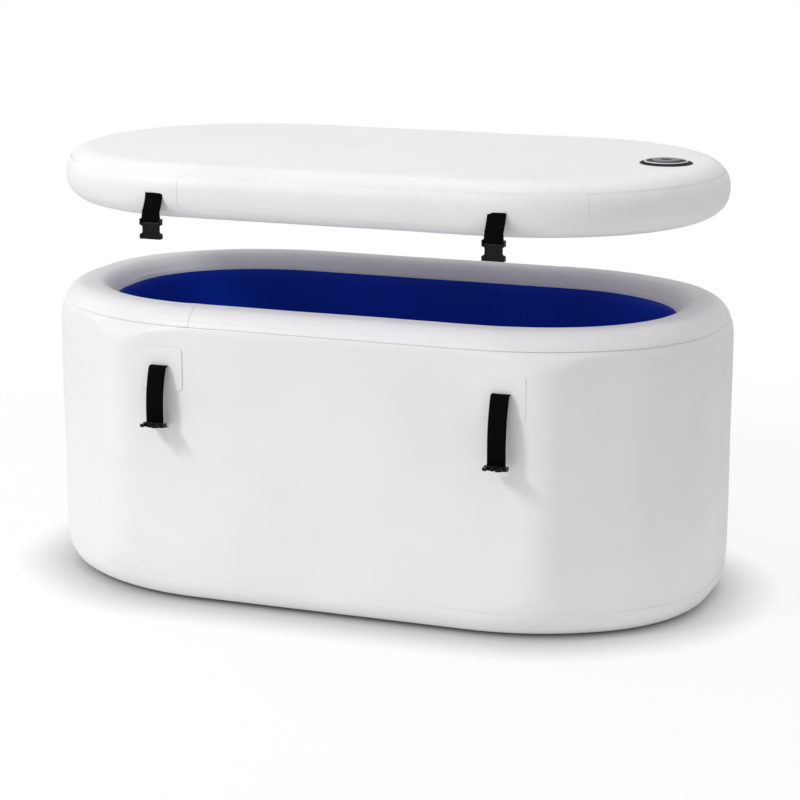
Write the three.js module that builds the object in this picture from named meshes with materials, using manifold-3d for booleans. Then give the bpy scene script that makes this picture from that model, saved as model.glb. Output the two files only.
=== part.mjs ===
// Inflatable cold plunge tub with its lid lifted clear: drop-stitch wall, floor and lid, webbing straps with
// side-release buckles, inflation valves and a drain. Millimetres, +Z up, the tub's front faces -Y.
// The origin is on the ground under the middle of the tub.
import * as THREE from 'three';
import { mergeVertices } from 'three/addons/utils/BufferGeometryUtils.js';
import Module from 'manifold-3d';

const wasm = await Module();
wasm.setup();

// Tub
const tubLength = 1500;
const tubWidth = 820;
const tubHeight = 650;
const wallThickness = 116;
const sideFlatLength = 956; // straight front and rear, between the points where the sides turn
const endFlatWidth = 410; // straight ends, between the points where the ends turn
const sideCreaseRadius = 120;
const endCreaseRadius = 270;
const innerSideCreaseRadius = 200;
const innerEndCreaseRadius = 250;
const arcShare = 0.9; // the most of a flat that the creases at its two ends may take up
const edgeRadius = 55; // rounding of the rim and of the foot
const skinThickness = 2;
const rimSeamDrop = 38; // from the rim's top down to its lap seam
const baseSeamHeight = 58;
const bottomSheetThickness = 2;
const floorCoreThickness = 68;

// Lid
const lidLength = 1490;
const lidWidth = 812;
const lidThickness = 116;
const lidEdgeRadius = 55;
const lidSeamDepth = 16; // from the lid's top and underside to the edge band's lap seams
const lidRestHeight = 186; // the lid's underside above the rim, as it is held off the tub

// Straps and buckles
const webbingWidth = 40;
const webbingThickness = 1.6;
const lidStrapSpread = 378; // lid straps to left and right of the middle
const tubStrapPlace = { left: -370, right: 394 }; // along the tub, as the patches are welded on
const patchWidth = 102;
const patchHeight = 92;
const patchThickness = 1.5;
const patchCornerRadius = 8;
const patchTopHeight = 566;
const tubStrapHeight = 526; // where a tub strap leaves its patch
const tubStrapLead = 5;
const tubStrapBend = 6;
const tubStrapSlant = Math.PI / 9; // off the vertical where the hanging webbing starts
const tubStrapBow = 28; // from the patch out to the webbing where it bows furthest
const tubStrapHang = 24; // from the patch out to the buckle's bar
const tubStrapDrop = { left: 124, right: 148 }; // from the patch down to the buckle's bar, as adjusted
const tubStrapTail = { left: 20, right: 9 };
const tailDroop = 4;
const lidStrapDrop = 56;
const lidStrapBow = 17;
const loopClearance = 0.4;
const barRadius = 3;
const buckleEarThickness = 3.4;
const buckleThickness = 13;
const sideClearance = 0.6; // webbing to the buckle's ears
const femaleLength = 39; // from the bar to the mouth
const femaleWaistInset = 6.5;
const femaleWaistStart = 12;
const femaleWaistEnd = 26;
const femaleChamfer = 3;
const socketHeight = 7.6;
const socketWall = 3.4;
const prongClearance = 0.5;
const prongReach = 26; // how far the prongs go into the socket
const prongWidth = 6;
const prongBarb = 2.4;
const maleTilt = 8; // degrees above level, prongs pointing out
const maleFrameLength = 16;

// Inflation valves
const lidValveX = 617;
const wallValveX = -150;
const wallValveHeight = 545;
const doublerRadius = 56;
const doublerThickness = 2.5;
const flangeRadius = 46;
const flangeThickness = 3;
const flangeLip = 2;
const barrelRadius = 24;
const barrelBore = 19;
const barrelDepth = 40;
const barrelFloor = 3;
const airHoleRadius = 8;
const nutRadius = 36;
const nutThickness = 8;
const stemRadius = 4;
const stemHeadRadius = 15.5;
const stemHeadThickness = 3;
const stemHeadDepth = 8; // the stem head's top face under the skin's surface
const stemTop = 1; // the stem's finger end under the skin's surface
const stemTail = 20;
const springWire = 1.6;
const springRadius = 9;
const springTurns = 4;
const capRadius = 29.5;
const capThickness = 4;
const capSkirtWall = 3;
const capSkirtDepth = 4;
const capHollowRadius = 12.6;
const capHollowDepth = 1.4;

// Drain
const drainX = 200;
const drainHeight = 116;
const drainBore = 16;
const drainTubeRadius = 20;
const drainFlangeRadius = 34;
const drainFlangeThickness = 4;
const drainGasketThickness = 2;
const drainNutRadius = 30;
const drainNutThickness = 8;
const drainSpigotLength = 10;
const drainCapWall = 4;

// Clearances and facet counts
const gap = 0.3; // between pieces that rest on or pass through each other
const cutMargin = 1; // how far a cutter runs past what it cuts
const arcSteps = 2; // half of the facets on each plan corner
const lidArcSteps = 8; // half of the facets on each of the lid's ends
const edgeSteps = 3;
const roundFacets = 20;
const smallFacets = 12;

const finish = (color, roughness) => new THREE.MeshStandardMaterial({ color, roughness, metalness: 0 });
const whitePvc = finish('#ecebec', 0.5);
const bluePvc = finish('#0a2f9a', 0.45);
const threadCore = finish('#d9d6cd', 0.9);
const blackWebbing = finish('#111113', 0.85);
const blackPlastic = finish('#141416', 0.45);
const greyPlastic = finish('#8c8d90', 0.4);
const blackRubber = finish('#1b1b1d', 0.7);
const springSteel = new THREE.MeshStandardMaterial({ color: '#b8babd', roughness: 0.3, metalness: 1 });

// Solids: joins and cuts
function solidOf(geometry) {
  const plain = geometry.clone();
  for (const name of Object.keys(plain.attributes)) {
    if (name !== 'position') plain.deleteAttribute(name);
  }
  const merged = mergeVertices(plain);
  const vertProperties = new Float32Array(merged.attributes.position.array);
  const triVerts = new Uint32Array(merged.index.array);
  return new wasm.Manifold(new wasm.Mesh({ numProp: 3, vertProperties, triVerts }));
}

function geometryOf(solid) {
  const { vertProperties, triVerts } = solid.getMesh();
  const geometry = new THREE.BufferGeometry();
  geometry.setAttribute('position', new THREE.BufferAttribute(new Float32Array(vertProperties), 3));
  geometry.setIndex(new THREE.BufferAttribute(new Uint32Array(triVerts), 1));
  geometry.computeVertexNormals();
  return geometry;
}

function piece(name, solid, material) {
  const mesh = new THREE.Mesh(geometryOf(solid), material);
  mesh.name = name;
  return mesh;
}

function box(low, high) {
  const size = new THREE.Vector3().subVectors(high, low);
  const middle = new THREE.Vector3().addVectors(low, high).multiplyScalar(0.5);
  return solidOf(new THREE.BoxGeometry(size.x, size.y, size.z).translate(middle.x, middle.y, middle.z));
}

// A slice of space between two heights, wide enough for the whole tub
function slice(bottom, top) {
  const reach = tubLength;
  return box(new THREE.Vector3(-reach, -reach, bottom), new THREE.Vector3(reach, reach, top));
}

// A turned solid about +Z from [radius, height] pairs
function turned(profile, facets = roundFacets) {
  const points = profile.map(([radius, height]) => new THREE.Vector2(radius, height));
  points.push(points[0].clone());
  return solidOf(new THREE.LatheGeometry(points, facets).rotateX(Math.PI / 2));
}

// A solid round bar along X
function crossBar(radius, length, outward, height) {
  const bar = new THREE.CylinderGeometry(radius, radius, length, smallFacets);
  return solidOf(bar.rotateZ(Math.PI / 2).translate(0, -outward, height));
}

// A closed outline of straight flats with an arc at each corner, tightened where two arcs would meet on a flat
function roundedOutline(corners, outline) {
  const turns = corners.map(({ at, radius }, i) => {
    const next = corners[(i + 1) % corners.length].at;
    const towardsLast = corners.at(i - 1).at.clone().sub(at).normalize();
    const towardsNext = next.clone().sub(at).normalize();
    const halfAngle = Math.acos(towardsLast.dot(towardsNext)) / 2;
    const reach = radius / Math.tan(halfAngle);
    return { at, radius, towardsLast, towardsNext, halfAngle, reach, sideLength: at.distanceTo(next) };
  });
  const room = (turn, next) => (arcShare * turn.sideLength) / (turn.reach + next.reach);
  turns.forEach((turn, i) => {
    const { at, towardsLast, towardsNext, halfAngle } = turn;
    const radius = turn.radius * Math.min(1, room(turns.at(i - 1), turn), room(turn, turns[(i + 1) % turns.length]));
    const inwards = towardsLast.clone().add(towardsNext).normalize();
    const centre = at.clone().addScaledVector(inwards, radius / Math.sin(halfAngle));
    const flat = radius / Math.tan(halfAngle);
    const from = at.clone().addScaledVector(towardsLast, flat).sub(centre);
    const to = at.clone().addScaledVector(towardsNext, flat).sub(centre);
    outline.absarc(centre.x, centre.y, radius, from.angle(), to.angle(), false);
  });
  outline.closePath();
  return outline;
}

// The tub's plan, an eight-sided outline with rounded creases, moved in by an inset
function tubPlan(inset, sideRadius, endRadius, outline = new THREE.Shape()) {
  const sideTurn = new THREE.Vector2(sideFlatLength / 2, tubWidth / 2);
  const endTurn = new THREE.Vector2(tubLength / 2, endFlatWidth / 2);
  const slope = endTurn.clone().sub(sideTurn);
  const facing = new THREE.Vector2(-slope.y, slope.x).normalize();
  const reach = facing.dot(sideTurn) - inset;
  const halfWidth = tubWidth / 2 - inset;
  const halfLength = tubLength / 2 - inset;
  const sideX = (reach - facing.y * halfWidth) / facing.x;
  const endY = (reach - facing.x * halfLength) / facing.y;
  const quarter = [
    { at: new THREE.Vector2(halfLength, endY), radius: endRadius },
    { at: new THREE.Vector2(sideX, halfWidth), radius: sideRadius },
  ];
  const mirrored = (list, x, y) =>
    list.map(({ at, radius }) => ({ at: new THREE.Vector2(at.x * x, at.y * y), radius }));
  const corners = [
    ...quarter,
    ...mirrored(quarter.toReversed(), -1, 1),
    ...mirrored(quarter, -1, -1),
    ...mirrored(quarter.toReversed(), 1, -1),
  ];
  return roundedOutline(corners, outline);
}

// The lid's plan, straight sides with half-round ends, moved in by an inset
function lidPlan(inset) {
  const radius = lidWidth / 2 - inset;
  const centre = lidLength / 2 - lidWidth / 2;
  const outline = new THREE.Shape();
  outline.absarc(centre, 0, radius, -Math.PI / 2, Math.PI / 2, false);
  outline.absarc(-centre, 0, radius, Math.PI / 2, Math.PI * 1.5, false);
  outline.closePath();
  return outline;
}

// Half the width of the lid's faceted plan, at a distance along its length
function lidHalfWidthAt(x) {
  const points = lidPlan(0).getPoints(lidArcSteps);
  const after = points.findIndex((point) => point.x >= x);
  if (after < 1) return lidWidth / 2;
  const [near, far] = [points[after - 1], points[after]];
  return -THREE.MathUtils.mapLinear(x, near.x, far.x, near.y, far.y);
}

// A slab of a plan outline with rounded upper and lower edges
function roundedSlab(outline, bottom, top, radius, curveSegments) {
  const slab = new THREE.ExtrudeGeometry(outline, {
    depth: top - bottom - 2 * radius,
    bevelThickness: radius,
    bevelSize: radius,
    bevelOffset: -radius,
    bevelSegments: edgeSteps,
    curveSegments,
  });
  return solidOf(slab.translate(0, 0, bottom + radius));
}

function plate(outline, bottom, top, curveSegments = arcSteps) {
  const slab = new THREE.ExtrudeGeometry(outline, { depth: top - bottom, bevelEnabled: false, curveSegments });
  return solidOf(slab.translate(0, 0, bottom));
}

// The wall as one ring with a full round rim and foot, moved in from its surface by an inset
function wallRing(inset) {
  const ring = tubPlan(inset, sideCreaseRadius - inset, endCreaseRadius - inset);
  const opening = tubPlan(
    wallThickness - inset,
    innerSideCreaseRadius + inset,
    innerEndCreaseRadius + inset,
    new THREE.Path(),
  );
  ring.holes.push(opening);
  const foot = bottomSheetThickness + gap;
  return roundedSlab(ring, foot + inset, tubHeight - inset, edgeRadius - inset, arcSteps);
}

// The lid as one slab with a round edge, moved in from its surface by an inset
function lidSlab(inset) {
  const underside = tubHeight + lidRestHeight;
  return roundedSlab(
    lidPlan(inset),
    underside + inset,
    underside + lidThickness - inset,
    lidEdgeRadius - inset,
    lidArcSteps,
  );
}

// A column through the middle of the wall's thickness, to part its outer side from its inner side
function midWallColumn() {
  const middle = wallThickness / 2;
  return plate(tubPlan(middle, sideCreaseRadius - middle, endCreaseRadius - middle), 0, tubHeight);
}

// Places of the fittings that pierce the skins
function lidValvePlace(solid) {
  return solid.translate([lidValveX, 0, tubHeight + lidRestHeight + lidThickness]);
}

function rearPlace(solid, x, height) {
  return solid.rotate([-90, 0, 0]).translate([x, tubWidth / 2, height]);
}

function valveCutter() {
  const barrel = turned([
    [0, cutMargin],
    [0, -barrelDepth - gap],
    [barrelRadius + gap, -barrelDepth - gap],
    [barrelRadius + gap, cutMargin],
  ]);
  const nut = turned([
    [0, -skinThickness],
    [0, -skinThickness - nutThickness - 2 * gap],
    [nutRadius + gap, -skinThickness - nutThickness - 2 * gap],
    [nutRadius + gap, -skinThickness],
  ]);
  return barrel.add(nut);
}

function drainCutter() {
  const depth = wallThickness + cutMargin;
  const radius = drainTubeRadius + gap;
  return turned([[0, cutMargin], [0, -depth], [radius, -depth], [radius, cutMargin]]);
}

function tubWall() {
  const shell = wallRing(0).subtract(wallRing(skinThickness));
  const rimSeam = tubHeight - rimSeamDrop;
  const sides = shell.intersect(slice(baseSeamHeight + gap, rimSeam - gap));
  const column = midWallColumn();
  const wallValve = rearPlace(valveCutter(), wallValveX, wallValveHeight);
  const drain = rearPlace(drainCutter(), drainX, drainHeight);
  const core = wallRing(skinThickness + gap);
  return [
    piece('wall_core', core.subtract(wallValve).subtract(drain), threadCore),
    piece('outer_skin', sides.subtract(column).subtract(wallValve).subtract(drain), whitePvc),
    piece('inner_skin', sides.intersect(column).subtract(drain), bluePvc),
    piece('rim_band', shell.intersect(slice(rimSeam, tubHeight + cutMargin)), whitePvc),
    piece('base_band', shell.intersect(slice(0, baseSeamHeight)), whitePvc),
  ];
}

function tubFloor() {
  const inside = () => tubPlan(wallThickness + gap, innerSideCreaseRadius - gap, innerEndCreaseRadius - gap);
  const underRing = wallThickness / 2;
  const sheet = tubPlan(underRing, sideCreaseRadius - underRing, endCreaseRadius - underRing);
  const coreBottom = bottomSheetThickness + gap;
  const coreTop = coreBottom + floorCoreThickness;
  return [
    piece('bottom_sheet', plate(sheet, 0, bottomSheetThickness), whitePvc),
    piece('floor_core', plate(inside(), coreBottom, coreTop), threadCore),
    piece('floor_liner', plate(inside(), coreTop + gap, coreTop + gap + skinThickness), bluePvc),
  ];
}

function lidShell() {
  const underside = tubHeight + lidRestHeight;
  const top = underside + lidThickness;
  const shell = lidSlab(0).subtract(lidSlab(skinThickness));
  const valve = lidValvePlace(valveCutter());
  const topSkin = shell.intersect(slice(top - lidSeamDepth, top + cutMargin)).subtract(valve);
  const band = shell.intersect(slice(underside + lidSeamDepth + gap, top - lidSeamDepth - gap));
  const bottomSkin = shell.intersect(slice(underside - cutMargin, underside + lidSeamDepth));
  return [
    piece('lid_core', lidSlab(skinThickness + gap).subtract(valve), threadCore),
    piece('lid_top_skin', topSkin, whitePvc),
    piece('lid_edge_band', band, whitePvc),
    piece('lid_bottom_skin', bottomSkin, whitePvc),
  ];
}

// A strip of webbing along a centre line of [outward, height] points, its first end rounded
function webbingStrip(centreLine) {
  const half = webbingThickness / 2;
  const outer = [];
  const inner = [];
  centreLine.forEach((point, i) => {
    const last = centreLine[Math.max(i - 1, 0)];
    const next = centreLine[Math.min(i + 1, centreLine.length - 1)];
    const along = next.clone().sub(last).normalize();
    const across = new THREE.Vector2(-along.y, along.x).multiplyScalar(half);
    outer.push(point.clone().add(across));
    inner.push(point.clone().sub(across));
  });
  const outline = new THREE.Shape([...outer, ...inner.toReversed()]);
  const strip = new THREE.ExtrudeGeometry(outline, { depth: webbingWidth, bevelEnabled: false });
  strip.translate(0, 0, -webbingWidth / 2);
  const outward = new THREE.Vector3(0, -1, 0);
  const upward = new THREE.Vector3(0, 0, 1);
  const across = new THREE.Vector3(-1, 0, 0);
  strip.applyMatrix4(new THREE.Matrix4().makeBasis(outward, upward, across));
  const [root] = centreLine;
  return solidOf(strip).add(crossBar(half, webbingWidth, root.x, root.y));
}

// The sewn loop at a strap's end, with room for a buckle's bar
function withLoop(strip, outward, height) {
  const bore = barRadius + loopClearance;
  const loop = crossBar(bore + webbingThickness, webbingWidth, outward, height);
  return strip.add(loop).subtract(crossBar(bore, webbingWidth + cutMargin, outward, height));
}

const tubStrapRoot = tubWidth / 2 + patchThickness + 2 * gap + webbingThickness / 2;
const tubStrapOut = tubStrapRoot + tubStrapHang;
const lidStrapRoot = lidHalfWidthAt(lidStrapSpread - webbingWidth / 2) + gap + webbingThickness / 2;
const lidStrapHeight = tubHeight + lidRestHeight + lidThickness / 2;
const lidStrapOut = lidStrapRoot + lidStrapBow;

// A tub strap leaves its patch level, turns down and hangs in a bow, its free tail folded in under the buckle
function tubStrap(end) {
  const barHeight = tubStrapHeight - tubStrapDrop[end];
  const path = new THREE.Path();
  path.moveTo(tubStrapRoot, tubStrapHeight);
  path.lineTo(tubStrapRoot + tubStrapLead, tubStrapHeight);
  const bendCentre = tubStrapHeight - tubStrapBend;
  path.absarc(tubStrapRoot + tubStrapLead, bendCentre, tubStrapBend, Math.PI / 2, tubStrapSlant, true);
  path.splineThru([
    new THREE.Vector2(tubStrapRoot + tubStrapBow, (bendCentre + barHeight) / 2),
    new THREE.Vector2(tubStrapOut, barHeight + barRadius + loopClearance),
  ]);
  const tailTop = barHeight - barRadius - loopClearance - webbingThickness / 2;
  const tail = webbingStrip([
    new THREE.Vector2(tubStrapOut - tubStrapTail[end], tailTop - tailDroop),
    new THREE.Vector2(tubStrapOut - tubStrapTail[end] / 2, tailTop - tailDroop / 4),
    new THREE.Vector2(tubStrapOut, tailTop),
  ]);
  const strip = webbingStrip(path.getPoints(4)).add(tail);
  return withLoop(strip, tubStrapOut, barHeight);
}

// A lid strap leaves the widest line of the lid's edge, bows out and hangs
function lidStrap() {
  const bow = new THREE.SplineCurve([
    new THREE.Vector2(lidStrapRoot, lidStrapHeight),
    new THREE.Vector2(lidStrapRoot + lidStrapBow * 0.35, lidStrapHeight - lidStrapDrop * 0.3),
    new THREE.Vector2(lidStrapRoot + lidStrapBow * 0.85, lidStrapHeight - lidStrapDrop * 0.65),
    new THREE.Vector2(lidStrapOut, lidStrapHeight - lidStrapDrop + barRadius + loopClearance),
  ]);
  return withLoop(webbingStrip(bow.getPoints(10)), lidStrapOut, lidStrapHeight - lidStrapDrop);
}

const earInner = webbingWidth / 2 + sideClearance;
const buckleHalfWidth = earInner + buckleEarThickness;
const loopRadius = barRadius + loopClearance + webbingThickness;
const bodyStart = loopRadius + sideClearance; // a buckle's body starts clear of the webbing loop
const earTop = barRadius + sideClearance;

// The outline half of a buckle, mirrored about the strap's middle
function symmetricOutline(rightSide) {
  const leftSide = rightSide.toReversed().map(([x, along]) => [-x, along]);
  return new THREE.Shape([...rightSide, ...leftSide].map(([x, along]) => new THREE.Vector2(x, along)));
}

function thickOutline(outline, thickness) {
  const slab = new THREE.ExtrudeGeometry(outline, { depth: thickness, bevelEnabled: false });
  return solidOf(slab.translate(0, 0, -thickness / 2));
}

function buckleBar() {
  const bar = new THREE.CylinderGeometry(barRadius, barRadius, 2 * earInner + cutMargin, smallFacets);
  return solidOf(bar.rotateZ(Math.PI / 2));
}

function webbingWindow(thickness) {
  const low = new THREE.Vector3(-earInner, -earTop - cutMargin, -thickness);
  return box(low, new THREE.Vector3(earInner, bodyStart, thickness));
}

// The socket half, its bar at the origin and its mouth along +Y
function femaleHalf() {
  const waist = buckleHalfWidth - femaleWaistInset;
  const outline = symmetricOutline([
    [buckleHalfWidth, -earTop],
    [buckleHalfWidth, femaleWaistStart - femaleChamfer],
    [waist, femaleWaistStart],
    [waist, femaleWaistEnd],
    [buckleHalfWidth, femaleWaistEnd + femaleChamfer],
    [buckleHalfWidth, femaleLength],
  ]);
  const socketHalf = buckleHalfWidth - socketWall;
  const socket = box(
    new THREE.Vector3(-socketHalf, femaleWaistStart, -socketHeight / 2),
    new THREE.Vector3(socketHalf, femaleLength + cutMargin, socketHeight / 2),
  );
  const body = thickOutline(outline, buckleThickness).subtract(webbingWindow(buckleThickness));
  return body.subtract(socket).add(buckleBar());
}

// The prong half, its bar at the origin and its prongs along +Y
function maleHalf() {
  const prongOuter = buckleHalfWidth - socketWall - prongClearance;
  const waist = buckleHalfWidth - femaleWaistInset;
  const thickness = socketHeight - 2 * prongClearance;
  const tip = maleFrameLength + prongReach;
  const barb = tip - (femaleWaistEnd - femaleWaistStart);
  const frame = symmetricOutline([
    [buckleHalfWidth, -earTop],
    [buckleHalfWidth, maleFrameLength],
  ]);
  const prong = (side) => new THREE.Shape(
    [
      [prongOuter - prongWidth, maleFrameLength - cutMargin],
      [prongOuter - prongBarb, maleFrameLength - cutMargin],
      [prongOuter - prongBarb, barb],
      [prongOuter, barb],
      [prongOuter, tip - prongWidth],
      [waist - prongWidth, tip],
      [waist - prongWidth - prongBarb, tip],
      [prongOuter - prongWidth, barb],
    ].map(([x, along]) => new THREE.Vector2(side * x, along)),
  );
  const guide = symmetricOutline([
    [prongWidth / 2, maleFrameLength - cutMargin],
    [prongWidth / 2, tip - prongWidth],
  ]);
  const frameSolid = thickOutline(frame, buckleThickness - 2 * prongClearance);
  return frameSolid
    .subtract(webbingWindow(buckleThickness))
    .add(buckleBar())
    .add(thickOutline(prong(1), thickness))
    .add(thickOutline(prong(-1), thickness))
    .add(thickOutline(guide, thickness));
}

function strapPatch() {
  const halfWidth = patchWidth / 2;
  const halfHeight = patchHeight / 2;
  const corners = [[1, -1], [1, 1], [-1, 1], [-1, -1]].map(([x, y]) => ({
    at: new THREE.Vector2(x * halfWidth, y * halfHeight),
    radius: patchCornerRadius,
  }));
  const flat = plate(roundedOutline(corners, new THREE.Shape()), gap, gap + patchThickness);
  return flat.rotate([90, 0, 0]).translate([0, -tubWidth / 2, patchTopHeight - halfHeight]);
}

// One corner's straps: a patch, a tub strap with its prong half, and a lid strap with its socket half
function strapSet(side, end) {
  const onTub = new THREE.Group();
  const onLid = new THREE.Group();
  onTub.position.x = tubStrapPlace[end];
  onLid.position.x = end === 'left' ? -lidStrapSpread : lidStrapSpread;
  onTub.rotation.z = side === 'front' ? 0 : Math.PI;
  onLid.rotation.z = onTub.rotation.z;
  const male = maleHalf()
    .rotate([180, 0, 0])
    .rotate([-maleTilt, 0, 0])
    .translate([0, -tubStrapOut, tubStrapHeight - tubStrapDrop[end]]);
  const female = femaleHalf()
    .rotate([-90, 0, 0])
    .translate([0, -lidStrapOut, lidStrapHeight - lidStrapDrop]);
  const place = `${side}_${end}`;
  onTub.add(
    piece(`strap_patch_${place}`, strapPatch(), whitePvc),
    piece(`tub_strap_${place}`, tubStrap(end), blackWebbing),
    piece(`male_buckle_${place}`, male, blackPlastic),
  );
  onLid.add(
    piece(`lid_strap_${place}`, lidStrap(), blackWebbing),
    piece(`female_buckle_${place}`, female, blackPlastic),
  );
  return [onTub, onLid];
}

// The valve spring, a wire helix under the stem's head
function valveSpring() {
  const top = -stemHeadDepth - stemHeadThickness - gap - springWire / 2;
  const bottom = -barrelDepth + barrelFloor + gap + springWire / 2;
  const stepsPerTurn = 8;
  const points = [];
  for (let i = 0; i <= springTurns * stepsPerTurn; i += 1) {
    const angle = (i / stepsPerTurn) * 2 * Math.PI;
    const height = bottom + ((top - bottom) * i) / (springTurns * stepsPerTurn);
    points.push(new THREE.Vector3(springRadius * Math.cos(angle), springRadius * Math.sin(angle), height));
  }
  const wire = new THREE.Shape();
  wire.absarc(0, 0, springWire / 2, 0, 2 * Math.PI, false);
  const coil = new THREE.ExtrudeGeometry(wire, {
    extrudePath: new THREE.CatmullRomCurve3(points),
    steps: springTurns * stepsPerTurn,
    curveSegments: 3,
    bevelEnabled: false,
  });
  return solidOf(coil);
}

// An inflation valve standing on a skin, its axis +Z and the skin's surface at height 0
function valvePieces(prefix) {
  const flangeBottom = gap + doublerThickness + gap;
  const flangeTop = flangeBottom + flangeThickness;
  const barrelBottom = -barrelDepth;
  const doubler = turned([
    [barrelRadius + gap, gap],
    [doublerRadius, gap],
    [doublerRadius, gap + doublerThickness],
    [barrelRadius + gap, gap + doublerThickness],
  ]);
  const body = turned([
    [airHoleRadius, barrelBottom],
    [barrelRadius, barrelBottom],
    [barrelRadius, flangeBottom],
    [flangeRadius, flangeBottom],
    [flangeRadius, flangeTop + flangeLip],
    [flangeRadius - flangeLip, flangeTop + flangeLip],
    [flangeRadius - flangeLip, flangeTop],
    [barrelBore, flangeTop],
    [barrelBore, barrelBottom + barrelFloor],
    [airHoleRadius, barrelBottom + barrelFloor],
  ]);
  const nutTop = -skinThickness - gap;
  const nut = turned([
    [barrelRadius + gap, nutTop - nutThickness],
    [nutRadius, nutTop - nutThickness],
    [nutRadius, nutTop],
    [barrelRadius + gap, nutTop],
  ]);
  const stem = turned([
    [0, -stemHeadDepth - stemTail],
    [stemRadius, -stemHeadDepth - stemTail],
    [stemRadius, -stemHeadDepth - stemHeadThickness],
    [stemHeadRadius, -stemHeadDepth - stemHeadThickness],
    [stemHeadRadius, -stemHeadDepth],
    [stemRadius, -stemHeadDepth],
    [stemRadius, -stemTop],
    [0, -stemTop],
  ]);
  const capBottom = flangeTop + gap;
  const skirtRadius = barrelBore - gap;
  const cap = turned([
    [0, capBottom],
    [skirtRadius - capSkirtWall, capBottom],
    [skirtRadius - capSkirtWall, capBottom - capSkirtDepth],
    [skirtRadius, capBottom - capSkirtDepth],
    [skirtRadius, capBottom],
    [capRadius, capBottom],
    [capRadius, capBottom + capThickness],
    [capHollowRadius, capBottom + capThickness],
    [capHollowRadius, capBottom + capThickness - capHollowDepth],
    [0, capBottom + capThickness - capHollowDepth],
  ]);
  return [
    [`${prefix}_doubler`, doubler, blackRubber],
    [`${prefix}_body`, body, blackPlastic],
    [`${prefix}_nut`, nut, greyPlastic],
    [`${prefix}_stem`, stem, greyPlastic],
    [`${prefix}_spring`, valveSpring(), springSteel],
    [`${prefix}_cap`, cap, greyPlastic],
  ];
}

function lidValve() {
  return valvePieces('lid_valve').map(([name, solid, material]) => piece(name, lidValvePlace(solid), material));
}

function wallValve() {
  return valvePieces('wall_valve').map(([name, solid, material]) =>
    piece(name, rearPlace(solid, wallValveX, wallValveHeight), material),
  );
}

// The drain runs through the wall, its axis +Z and the outer skin's surface at height 0
function drain() {
  const flangeBottom = gap + drainGasketThickness + gap;
  const flangeTop = flangeBottom + drainFlangeThickness;
  const spigotTop = flangeTop + drainSpigotLength;
  const nutTop = -wallThickness - gap;
  const tubeEnd = nutTop - drainNutThickness - gap;
  const body = turned([
    [drainBore, tubeEnd],
    [drainTubeRadius, tubeEnd],
    [drainTubeRadius, flangeBottom],
    [drainFlangeRadius, flangeBottom],
    [drainFlangeRadius, flangeTop],
    [drainTubeRadius, flangeTop],
    [drainTubeRadius, spigotTop],
    [drainBore, spigotTop],
  ]);
  const gasket = turned([
    [drainTubeRadius + gap, gap],
    [drainFlangeRadius, gap],
    [drainFlangeRadius, gap + drainGasketThickness],
    [drainTubeRadius + gap, gap + drainGasketThickness],
  ]);
  const nut = turned([
    [drainTubeRadius + gap, nutTop - drainNutThickness],
    [drainNutRadius, nutTop - drainNutThickness],
    [drainNutRadius, nutTop],
    [drainTubeRadius + gap, nutTop],
  ]);
  const capInner = drainTubeRadius + gap;
  const cap = turned([
    [0, spigotTop + gap],
    [capInner, spigotTop + gap],
    [capInner, flangeTop + gap],
    [capInner + drainCapWall, flangeTop + gap],
    [capInner + drainCapWall, spigotTop + gap + drainCapWall],
    [0, spigotTop + gap + drainCapWall],
  ]);
  const pieces = [
    ['drain_body', body, blackPlastic],
    ['drain_gasket', gasket, blackRubber],
    ['drain_nut', nut, blackPlastic],
    ['drain_cap', cap, blackPlastic],
  ];
  return pieces.map(([name, solid, material]) =>
    piece(name, rearPlace(solid, drainX, drainHeight), material),
  );
}

const tub = new THREE.Group();
tub.add(...tubWall(), ...tubFloor(), ...wallValve(), ...drain());
tub.add(...lidShell(), ...lidValve());
for (const side of ['front', 'rear']) {
  for (const end of ['left', 'right']) {
    tub.add(...strapSet(side, end));
  }
}

export default tub;
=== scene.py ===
from math import asin, atan2, cos, exp, hypot, pi, radians, sin

import bmesh
import bpy
from mathutils import Matrix, Vector, geometry, noise


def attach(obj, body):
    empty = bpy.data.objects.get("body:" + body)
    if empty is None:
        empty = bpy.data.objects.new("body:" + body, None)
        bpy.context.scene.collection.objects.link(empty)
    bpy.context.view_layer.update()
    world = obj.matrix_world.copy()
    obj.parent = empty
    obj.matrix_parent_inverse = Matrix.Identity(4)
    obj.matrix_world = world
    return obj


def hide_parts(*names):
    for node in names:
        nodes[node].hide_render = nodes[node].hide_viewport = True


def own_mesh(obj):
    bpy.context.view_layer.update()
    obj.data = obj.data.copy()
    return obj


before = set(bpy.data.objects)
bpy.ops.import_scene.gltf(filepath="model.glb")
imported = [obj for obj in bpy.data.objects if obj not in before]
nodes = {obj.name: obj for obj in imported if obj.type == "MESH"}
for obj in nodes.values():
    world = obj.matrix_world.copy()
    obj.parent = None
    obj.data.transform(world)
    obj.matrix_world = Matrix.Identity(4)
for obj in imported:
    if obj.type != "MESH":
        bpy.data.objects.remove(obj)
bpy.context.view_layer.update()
mm = 0.001  # pieces are written in millimetres and scaled once, when they are finished


# Materials

def hexColour(code):
    channels = [int(code[i:i + 2], 16) / 255 for i in (1, 3, 5)]
    return [c / 12.92 if c <= 0.04045 else ((c + 0.055) / 1.055) ** 2.4 for c in channels] + [1.0]


def addNode(tree, kind, settings=None, inputs=None):
    node = tree.nodes.new(kind)
    for name, value in (settings or {}).items():
        setattr(node, name, value)
    for name, value in (inputs or {}).items():
        if isinstance(value, bpy.types.NodeSocket):
            tree.links.new(value, node.inputs[name])
        else:
            node.inputs[name].default_value = value
    return node


def startMaterial(name):
    material = bpy.data.materials.new(name)
    material.use_nodes = True
    material.node_tree.nodes.clear()
    return material, material.node_tree


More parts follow.
